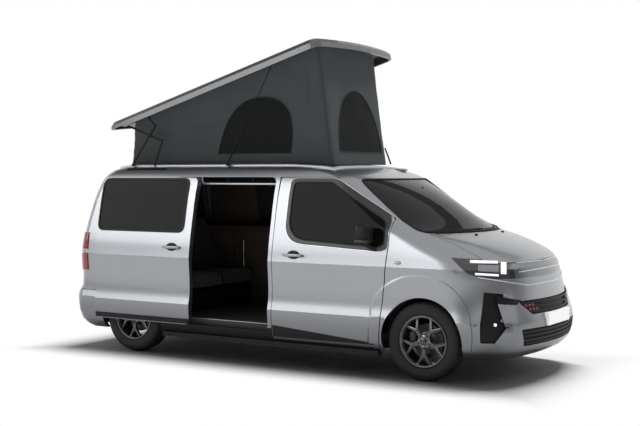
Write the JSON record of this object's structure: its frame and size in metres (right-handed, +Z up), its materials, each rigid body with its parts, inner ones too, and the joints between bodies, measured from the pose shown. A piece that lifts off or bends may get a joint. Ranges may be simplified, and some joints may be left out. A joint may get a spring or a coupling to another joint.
{
  "type": "camper van",
  "caption": "Camper van with opening cab doors, bonnet and tailgate, an open sliding door, steered road wheels and a lifting roof with fabric sides on scissor arms.",
  "frame": {"origin": "middle of the box round the van, on the road", "axes": "+X forward, +Y to the van's left, +Z up"},
  "size_m": [4.983, 2.202, 3.0734],
  "materials": {
    "paint": "metallic gloss",
    "glass": "dark tinted",
    "black_plastic": "satin",
    "underbody": "matt",
    "engine": "matt",
    "headlamp": "clear lens",
    "red_lamp": "clear lens",
    "steel": "satin",
    "plate": "gloss",
    "upholstery": "woven",
    "furniture": "satin laminate",
    "canvas": "matt woven",
    "tyre": "matt",
    "alloy": "anthracite satin",
    "linkage": "satin"
  },
  "bodies": {
    "shell": {"floor_pan": "underbody", "right_side": "paint", "left_side": "paint", "roof_panel": "paint", "cowl": "black_plastic", "front_wings": "paint", "front_bumper": "paint", "grilles": "black_plastic", "headlamps": "headlamp", "rear_bumper": "paint", "tail_lamps": "red_lamp", "windscreen": "glass", "side_glass": "glass", "sliding_door": "paint", "sliding_door_glass": "glass", "door_rails": "steel", "sill_trims": "black_plastic", "front_plate": "plate", "dashboard": "black_plastic", "steering_wheel": "black_plastic", "front_seats": "upholstery", "rear_bench": "upholstery", "kitchen": "furniture", "engine_block": "engine", "front_subframe": "underbody", "rear_axle": "underbody", "hinges": "underbody", "wheel_liners": "black_plastic", "roof_frame": "plate", "canvas": "canvas"},
    "right_front_door": {"right_door": "paint", "right_door_glass": "glass", "right_mirror": "black_plastic"},
    "left_front_door": {"left_door": "paint", "left_door_glass": "glass", "left_mirror": "black_plastic"},
    "bonnet": {"bonnet": "paint"},
    "tailgate": {"tailgate": "paint", "tailgate_glass": "glass"},
    "right_knuckle": {"right_knuckle": "underbody"},
    "left_knuckle": {"left_knuckle": "underbody"},
    "front_right_wheel": {"tyre_front_right": "tyre", "rim_front_right": "alloy"},
    "front_left_wheel": {"tyre_front_left": "tyre", "rim_front_left": "alloy"},
    "rear_right_wheel": {"tyre_rear_right": "tyre", "rim_rear_right": "alloy"},
    "rear_left_wheel": {"tyre_rear_left": "tyre", "rim_rear_left": "alloy"},
    "roof_lid": {"roof_lid": "paint"},
    "strut_barrels": {"strut_barrels": "linkage"},
    "strut_rods": {"strut_rods": "steel"},
    "rear_bars": {"rear_bars": "linkage"},
    "rear_links": {"rear_links": "linkage"},
    "lid_bars": {"lid_bars": "linkage"},
    "lid_links": {"lid_links": "linkage"}
  },
  "joints": [
    {"name": "roof_lift", "type": "hinge", "parent": "shell", "child": "roof_lid", "pos_m": [-3.339, 0, 1.62], "axis": [0, 1, 0], "range_deg": [0, 16.5], "deforming": ["canvas"]},
    {"name": "left_steer", "type": "hinge", "parent": "shell", "child": "left_knuckle", "pos_m": [1.5865, 0.805, 0.345], "axis": [0, 0, 1], "range_deg": [-35, 35]},
    {"name": "right_steer", "type": "hinge", "parent": "shell", "child": "right_knuckle", "pos_m": [1.5865, -0.805, 0.345], "axis": [0, 0, 1], "range_deg": [-35, 35]},
    {"name": "front_left_spin", "type": "hinge", "parent": "left_knuckle", "child": "front_left_wheel", "pos_m": [1.5865, 0.805, 0.345], "axis": [0, 1, 0], "continuous": true},
    {"name": "front_right_spin", "type": "hinge", "parent": "right_knuckle", "child": "front_right_wheel", "pos_m": [1.5865, -0.805, 0.345], "axis": [0, 1, 0], "continuous": true},
    {"name": "rear_left_spin", "type": "hinge", "parent": "shell", "child": "rear_left_wheel", "pos_m": [-1.6885, 0.805, 0.345], "axis": [0, 1, 0], "continuous": true},
    {"name": "rear_right_spin", "type": "hinge", "parent": "shell", "child": "rear_right_wheel", "pos_m": [-1.6885, -0.805, 0.345], "axis": [0, 1, 0], "continuous": true},
    {"name": "right_door_swing", "type": "hinge", "parent": "shell", "child": "right_front_door", "pos_m": [1.15, -0.933, 0.7], "axis": [0, 0, 1], "range_deg": [0, 70]},
    {"name": "left_door_swing", "type": "hinge", "parent": "shell", "child": "left_front_door", "pos_m": [1.15, 0.933, 0.7], "axis": [0, 0, -1], "range_deg": [0, 70]},
    {"name": "bonnet_lift", "type": "hinge", "parent": "shell", "child": "bonnet", "pos_m": [1.52, 0, 1.29], "axis": [0, -1, 0], "range_deg": [0, 50]},
    {"name": "tailgate_lift", "type": "hinge", "parent": "shell", "child": "tailgate", "pos_m": [-2.228, 0, 1.85], "axis": [0, 1, 0], "range_deg": [0, 85]},
    {"name": "rear_bar_turn", "type": "hinge", "parent": "shell", "child": "rear_bars", "pos_m": [-1.87, 0, 1.886], "axis": [0, 1, 0], "range_deg": [0, 52.54]},
    {"name": "rear_link_turn", "type": "hinge", "parent": "shell", "child": "rear_links", "pos_m": [-1.595, 0, 1.886], "axis": [0, 1, 0], "range_deg": [0, 67.11]},
    {"name": "lid_bar_turn", "type": "hinge", "parent": "roof_lid", "child": "lid_bars", "pos_m": [-1.9648, 0, 2.3045], "axis": [0, 1, 0], "range_deg": [-36.05, 0]},
    {"name": "lid_link_turn", "type": "hinge", "parent": "roof_lid", "child": "lid_links", "pos_m": [-1.6561, 0, 2.3959], "axis": [0, 1, 0], "range_deg": [-64.47, 0]},
    {"name": "strut_swing", "type": "hinge", "parent": "shell", "child": "strut_barrels", "pos_m": [-0.653, 0, 1.886], "axis": [0, 1, 0], "range_deg": [0, 61]},
    {"name": "strut_slide", "type": "slide", "parent": "strut_barrels", "child": "strut_rods", "axis": [0.4879, 0, 0.8729], "range_m": [-0.352, 0]}
  ],
  "couplings": [
    {"joint": "right_steer", "follows": "left_steer", "ratio": 1},
    {"joint": "rear_bar_turn", "follows": "roof_lift", "ratio": 3.1723},
    {"joint": "rear_link_turn", "follows": "roof_lift", "ratio": 4.0553},
    {"joint": "lid_bar_turn", "follows": "roof_lift", "ratio": -2.1729},
    {"joint": "lid_link_turn", "follows": "roof_lift", "ratio": -3.8949},
    {"joint": "strut_swing", "follows": "roof_lift", "ratio": 3.6846},
    {"joint": "strut_slide", "follows": "roof_lift", "m_per_rad": -1.2155}
  ]
}
